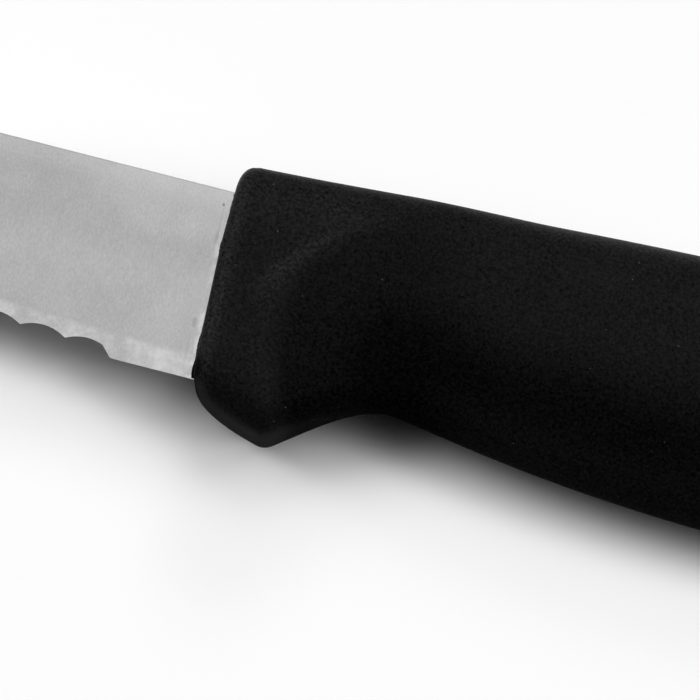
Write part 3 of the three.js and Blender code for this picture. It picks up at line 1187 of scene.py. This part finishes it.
    def crease_x(self, level: Array) -> Array:
        """Gives the crease's place at a level, foremost at the crease level.

        Args:
            level: From 0 at the belly to 1 at the back.

        Returns:
            The crease's x at each level.
        """
        fall = np.clip(1 - level / self.crease_level, 0, 1)
        climb = np.clip((level - self.crease_level) / (self.crease_top_level - self.crease_level), 0, 1)
        low = (self.guard_setback - self.crease_setback) * fall**2
        high = (self.crease_top_setback - self.crease_setback) * climb**self.crease_bow
        return self.crease_setback + low + high

    def scoop_x(self, level: Array) -> Array:
        """Gives the place of the scoop's floor at a level."""
        return self.notch_setback + self.scoop_slant * level

    def scoop_half(self, level: Array) -> Array:
        """Gives the half width of the scoop's floor at a level."""
        return self.neck_width / 2 + self.scoop_fade * smooth(level)

    def _lines(self) -> list[Line]:
        """Lists the lines that the skin is drawn through, from the front to the butt.

        Returns:
            The lines in order.
        """
        guard = Section(back=5.0, belly=5.0, widest=0.5, flat=0.02)
        neck = Section(back=3.2, belly=1.8, widest=0.6)
        grip = Section(back=2.9, belly=1.7, widest=0.6)
        butt = Section(back=3.0, belly=2.2, widest=0.56)

        def even(width: float) -> AlongLevel:
            """Gives half a width at every level."""
            return lambda level: np.full_like(level, width / 2)

        def at(x: float) -> AlongLevel:
            """Gives one place at every level."""
            return lambda level: np.full_like(level, x)

        front_edge, butt_edge = self.front_edge_radius, self.butt_edge_radius
        butt_x = self.length - butt_edge
        return [
            Line(self.front_x, even(self.guard_width - 2 * front_edge), guard),
            Line(
                lambda level: self.front_x(level) + front_edge,
                even(self.guard_width),
                guard,
                steps=12,
                change=Easing.ROUND_OVER,
            ),
            Line(self.crease_x, even(self.guard_width), guard, steps=24, creased=True),
            Line(self.scoop_x, self.scoop_half, neck, steps=40, creased=True),
            Line(at(self.palm_setback), even(self.palm_width), grip, steps=48, change=Easing.SMOOTH),
            Line(at(self.waist_x), even(self.waist_width), grip, steps=28, change=Easing.SMOOTH),
            Line(at(butt_x), even(self.butt_width), butt, steps=26, change=Easing.SMOOTH),
            Line(
                at(self.length),
                even(self.butt_width - 2 * butt_edge),
                butt,
                steps=14,
                change=Easing.ROUND_UNDER,
            ),
        ]

    def _levels(self) -> Array:
        """Spaces the rows from belly to back, crowded together at both."""
        half = np.linspace(0, 1, self.rows // 2 + 1) ** self.row_crowding / 2
        return np.concatenate([half, 1 - half[-2::-1]])

    def _creased_half(self, x: Array, level: Array) -> Array:
        """Gives the half width round the crease.

        The guard's flank is dished a little, so that it rises to the crease, and then rolls over into the
        scoop.

        Args:
            x: Places along the handle.
            level: Their levels.

        Returns:
            The half width at each place.
        """
        guard = self.guard_width / 2
        floor = self.scoop_half(level)
        crease = self.crease_x(level)
        past = x - crease
        rolled = (past + np.hypot(past, self.crease_round)) / 2
        share = np.clip(rolled / (self.scoop_x(level) - crease), 0, 1)
        dish = self.flank_dish * (1 - Hill(0.0, self.flank_dish_width).at(past))
        edge = self.front_edge_radius
        room = Ramp(edge, edge + self.flank_dish_start).at(x - self.front_x(level))
        return lerp(guard, floor, np.sin(share * math.pi / 2)) - np.where(past < 0, dish * room, 0)

    def _flank(self, start: Line, end: Line, shares: Array) -> Array:
        """Works out the left flank between two lines.

        Args:
            start: The line in front.
            end: The line behind.
            shares: How far each ring lies from one to the other.

        Returns:
            Points by ring, level and axis.
        """
        level, share = np.meshgrid(self._levels(), shares)
        blend = smooth(share)
        near, far = start.section, end.section
        widest = lerp(near.widest, far.widest, blend)
        flat = lerp(near.flat, far.flat, blend)
        x = lerp(start.place(level), end.place(level), share)
        y = lerp(self.belly.at(x), self.back.at(x), level)
        if end.creased:
            half = self._creased_half(x, level)
        else:
            half = lerp(start.half(level), end.half(level), end.change.at(share))
        below = level < widest
        away = np.where(below, (widest - level) / widest, (level - widest) / (1 - widest))
        square = np.where(below, lerp(near.belly, far.belly, blend), lerp(near.back, far.back, blend))
        fullness = (1 + flat) * np.clip(1 - away**square, 0, 1) ** (1 / square)
        return np.stack([x, y, half * np.minimum(1, fullness)], axis=-1)

    def _body(self) -> bpy.types.Object:
        """Skins the handle from the front to the butt.

        Returns:
            A closed mesh object.
        """
        lines = self._lines()
        flanks = [self._flank(lines[0], lines[1], np.zeros(1))]
        for start, end in zip(lines, lines[1:]):
            flanks.append(self._flank(start, end, np.linspace(0, 1, end.steps + 1)[1:]))
        left = np.concatenate(flanks)
        right = left[:, 1:-1] * [1, 1, -1]
        rings = np.concatenate([right, left[:, -1:], left[:, -2::-1]], axis=1)
        return Solids.skin("handle_plastic", rings)

    def _flash(self, blade: Blade, side: int) -> bpy.types.Object:
        """Makes the thin ragged skin of plastic that the mould left on the blade.

        Args:
            blade: The blade that it clings to.
            side: 1 for the left face and -1 for the right.

        Returns:
            A closed mesh object.
        """
        draw = np.random.default_rng(self.flash_seed + side)
        y = np.linspace(blade.heel_y + self.flash_heel_gap, -self.flash_spine_gap, self.flash_rows)
        coarse = y[:: self.flash_lump_rows]
        lumps = np.interp(y, coarse, draw.random(len(coarse)))
        fine = draw.random(len(y))
        ragged = self.flash_coarse * lumps - self.flash_bare + self.flash_fine * fine
        reach = self.flash_reach + self.flash_raggedness * np.clip(ragged, *self.flash_limits)
        for rise in self.flash_lump_rises:
            reach = reach + self.flash_lump * Hill(blade.heel_y + rise, self.flash_lump_width).at(y)
        front = self.front_x((y - blade.heel_y) / self.front_height)
        face = blade.side_half(y) if side > 0 else blade.right_face(0, y)
        low, high = face + side * self.flash_lift, face + side * self.flash_thickness
        corners = [
            (front + self.flash_root, low),
            (front - reach, low),
            (front - self.flash_top_share * reach, high),
            (front + self.flash_root, high),
        ]
        rings = np.stack([np.column_stack([x, y, z]) for x, z in corners], axis=1)
        return Solids.skin(f"flash_{side}", rings)

    def _level(self, points: Array) -> Array:
        """Gives each point's level, from 0 at the belly to 1 at the back."""
        belly, back = self.belly.at(points[:, 0]), self.back.at(points[:, 0])
        return np.clip((points[:, 1] - belly) / np.maximum(back - belly, self.least_height), 0, 1)

    def wear_and_painted_light(self, points: Array) -> Array:
        """Says how far the skin is lightened at each point: rubbed along the crease and the butt, with a
        painted highlight along the crease, the front rim and the back and painted light on the guard's upper
        flank.

        Args:
            points: Rows of x, y and z.

        Returns:
            A value from 0 to 1 for each point.
        """
        x, y, z = points.T
        painted_light_and_wear, level = self.painted_light_and_wear, self._level(points)
        # The crease is rubbed and has a painted highlight, the rim and the back get a painted highlight, the
        # corner gets painted light on the guard's upper flank, and the butt is rubbed.
        past = x - self.crease_x(level)
        strip = np.where(past < 0, painted_light_and_wear.crease_before, painted_light_and_wear.crease_behind)
        strength = painted_light_and_wear.crease * painted_light_and_wear.crease_rise.at(level) * painted_light_and_wear.crease_fade.at(level)
        crease = strength * Hill(0.0, strip).at(past)
        outside = np.clip(np.abs(z) / painted_light_and_wear.rim_half, 0, 1) ** painted_light_and_wear.rim_power
        rim = painted_light_and_wear.rim.at(x - self.front_x(level)) * outside
        back = painted_light_and_wear.back * painted_light_and_wear.back_strip.at(self.back.at(x) - y)
        corner = painted_light_and_wear.corner.at(level) * painted_light_and_wear.corner_fade.at(x)
        butt = painted_light_and_wear.butt * painted_light_and_wear.butt_strip.at(self.length - x)
        return np.clip(np.maximum.reduce([crease, rim, back, corner, butt]), 0, 1)

    def painted_shade_and_heel_spot(self, points: Array) -> Array:
        """Says how far the skin is darkened at each point: by painted shade in the scoop, at the finger's
        place and along the lower grip, and by a dark spot at the heel corner.

        Args:
            points: Rows of x, y and z.

        Returns:
            A value from 0 to 1 for each point.
        """
        x, y, _ = points.T
        painted_light_and_wear, level = self.painted_light_and_wear, self._level(points)
        # Painted shade in the scoop, at the finger's place and along the lower grip, and a dark spot at the
        # heel corner.
        reach = painted_light_and_wear.scoop_start.at(x - self.crease_x(level)) * painted_light_and_wear.scoop_end.at(x)
        scoop = (painted_light_and_wear.scoop - painted_light_and_wear.scoop_loss * level) * reach
        across = x + painted_light_and_wear.finger_slant * level
        finger = painted_light_and_wear.finger * Hill(painted_light_and_wear.finger_x, painted_light_and_wear.finger_width).at(across) * painted_light_and_wear.finger_fade.at(level)
        palm = painted_light_and_wear.palm * painted_light_and_wear.palm_strip.at(level) * painted_light_and_wear.palm_start.at(x)
        at_heel = Hill(self.back_step - self.front_height, painted_light_and_wear.heel_width).at(y)
        heel = painted_light_and_wear.heel * painted_light_and_wear.heel_strip.at(x - self.front_x(level)) * at_heel
        return 1 - (1 - scoop) * (1 - finger) * (1 - palm) * (1 - heel)

    def matt(self, points: Array) -> Array:
        """Says how matt the skin still is at each point, from 0 to 1, which is most along the belly."""
        return self.painted_light_and_wear.matt.at(self._level(points))

    def build(self, axes: KnifeAxes, blade: Blade) -> bpy.types.Object:
        """Builds and dresses the handle.

        Args:
            axes: Where the knife lies.
            blade: The blade that it is moulded round.

        Returns:
            The finished piece.
        """
        self.outline(blade)
        handle = self._body()
        seat = [blade.mouth(self.seat_clearance), blade.tang(self.seat_clearance)]
        Solids.combine(handle, seat, Change.CUT)
        Solids.join(handle, [self._flash(blade, 1), self._flash(blade, -1)])
        points = Solids.points(handle)
        for name, values in (("wear_and_painted_light", self.wear_and_painted_light), ("painted_shade_and_heel_spot", self.painted_shade_and_heel_spot), ("matt", self.matt)):
            Solids.mark(handle, name, values(points))
        Solids.place(handle, axes, self.sharp_deg)
        handle.data.materials.clear()
        handle.data.materials.append(self.finish.material())
        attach(handle, "root")
        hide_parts("moulded_handle")
        return handle


@dataclass(frozen=True)
class SoftLight:
    """A far soft light over the knife.

    side_deg is its lean from the vertical to the right and lean_deg the lean to the back. The higher its
    tightness, the smaller it is.
    """

    side_deg: float
    lean_deg: float
    tightness: float
    strength: float

    def brightness(self, sheet: NodeSheet, towards: Socket) -> Socket:
        """Gives how bright the room is in a direction.

        Args:
            sheet: The world's nodes.
            towards: The direction.

        Returns:
            The brightness's socket.
        """
        side, lean = math.radians(self.side_deg), math.radians(self.lean_deg)
        near = sheet.add("ShaderNodeVectorMath", operation="DOT_PRODUCT")
        sheet.feed(near.inputs[0], towards)
        near.inputs[1].default_value = (
            math.sin(side),
            math.cos(side) * math.sin(lean),
            math.cos(side) * math.cos(lean),
        )
        off = sheet.math("SUBTRACT", near.outputs["Value"], 1.0)
        fall = sheet.math("EXPONENT", sheet.product(off, self.tightness))
        return sheet.product(fall, self.strength)


@dataclass
class Studio:
    """A white floor under soft lights from behind and from both sides, and the photograph's camera."""

    floor_radius: float = 8000.0
    floor_middle: float = 1000.0  # radius of its middle face
    floor_sides: int = 96
    floor_gap: float = 0.02  # below the knife
    floor_tone: float = 0.975
    lights: tuple[SoftLight, ...] = (
        SoftLight(side_deg=0.0, lean_deg=26.0, tightness=100.0, strength=8.3),
        SoftLight(side_deg=0.0, lean_deg=51.0, tightness=100.0, strength=7.0),
        SoftLight(side_deg=-38.0, lean_deg=9.0, tightness=60.0, strength=10.5),
        SoftLight(side_deg=-20.0, lean_deg=18.0, tightness=60.0, strength=2.6),
        SoftLight(side_deg=21.0, lean_deg=18.0, tightness=60.0, strength=7.9),
        SoftLight(side_deg=62.0, lean_deg=9.0, tightness=60.0, strength=12.8),
    )
    walls: Ramp = Ramp(0.0, 1.0, 0.36, 0.8)  # brightness that the knife mirrors, from the foot to overhead
    backdrop: float = 0.975
    view_elevation_deg: float = 80.0
    view_turn_deg: float = 14.566
    view_distance: float = 700.0
    view_width: float = 76.03  # at the target
    target: tuple[float, float, float] = (16.4, -13.8, 0.0)
    sensor: float = 36.0
    clip_m: tuple[float, float] = (0.01, 1000.0)

    def _floor(self) -> None:
        """Lays a round floor under the knife."""
        turn = np.linspace(0, 2 * math.pi, self.floor_sides, endpoint=False)
        circle = np.column_stack([np.cos(turn), np.sin(turn), np.zeros(len(turn))])
        rings = np.stack([self.floor_middle * circle, self.floor_radius * circle])
        floor = Solids.skin("floor", rings * MM, capped=(True, False))
        floor.location.z = -self.floor_gap * MM
        floor.data.shade_smooth()
        sheet = NodeSheet.of_material("white_floor")
        white = sheet.add("ShaderNodeBsdfDiffuse")
        white.inputs["Color"].default_value = (self.floor_tone, self.floor_tone, self.floor_tone, 1)
        sheet.feed(sheet.output.inputs["Surface"], white.outputs["BSDF"])
        floor.data.materials.append(sheet.owner)

    def _light(self) -> None:
        """Hangs the soft lights round the knife, in a room whose pale walls show in the steel."""
        world = bpy.data.worlds.new("studio")
        bpy.context.scene.world = world
        sheet = NodeSheet(world)
        towards = sheet.add("ShaderNodeTexCoord").outputs["Generated"]
        lit = sheet.total(*(light.brightness(sheet, towards) for light in self.lights))
        split = sheet.add("ShaderNodeSeparateXYZ")
        sheet.feed(split.inputs["Vector"], towards)
        walls = sheet.step(split.outputs["Z"], self.walls)
        path = sheet.add("ShaderNodeLightPath")
        strength = lit
        for ray, shown in (("Is Glossy Ray", walls), ("Is Camera Ray", self.backdrop)):
            other = sheet.math("SUBTRACT", shown, strength)
            strength = sheet.math("MULTIPLY_ADD", path.outputs[ray], other, strength)
        room = sheet.add("ShaderNodeBackground")
        room.inputs["Color"].default_value = (1, 1, 1, 1)
        sheet.feed(room.inputs["Strength"], strength)
        sheet.feed(sheet.output.inputs["Surface"], room.outputs["Background"])

    def _camera(self, axes: KnifeAxes) -> None:
        """Sets up the photograph's camera.

        Args:
            axes: Where the knife lies.
        """
        data = bpy.data.cameras.new("camera")
        data.sensor_width = self.sensor
        data.lens = self.sensor * self.view_distance / self.view_width
        data.clip_start, data.clip_end = self.clip_m
        camera = bpy.data.objects.new("camera", data)
        rise, turn = math.radians(self.view_elevation_deg), math.radians(self.view_turn_deg)
        right = Vector((math.cos(turn), math.sin(turn), 0))
        back = Vector((math.sin(turn) * math.cos(rise), -math.cos(turn) * math.cos(rise), math.sin(rise)))
        up = back.cross(right)
        aim = Vector(axes.to_row(np.array(self.target)))
        turned = Matrix((right, up, back)).transposed().to_4x4()
        camera.matrix_world = Matrix.Translation(aim + back * self.view_distance * MM) @ turned
        bpy.context.scene.collection.objects.link(camera)
        bpy.context.scene.camera = camera

    def build(self, axes: KnifeAxes) -> None:
        """Builds the floor, the light and the camera, and sets plain colours.

        Args:
            axes: Where the knife lies.
        """
        self._floor()
        self._light()
        self._camera(axes)
        bpy.context.scene.view_settings.view_transform = "Standard"


def main() -> None:
    """Builds the studio and the knife, piece by piece."""
    logging.basicConfig(level=logging.INFO, format="%(name)s: %(message)s")
    axes = KnifeAxes.from_frame()
    Studio().build(axes)
    log.info("studio: floor, light and camera")
    blade, handle = Blade(), Handle()
    pieces = [
        blade.build(axes, handle.front_lean_deg, handle.back_step),
        handle.build(axes, blade),
    ]
    for piece in pieces:
        log.info("%s: %d faces", piece.name, len(piece.data.polygons))


if __name__ == "__main__":
    main()
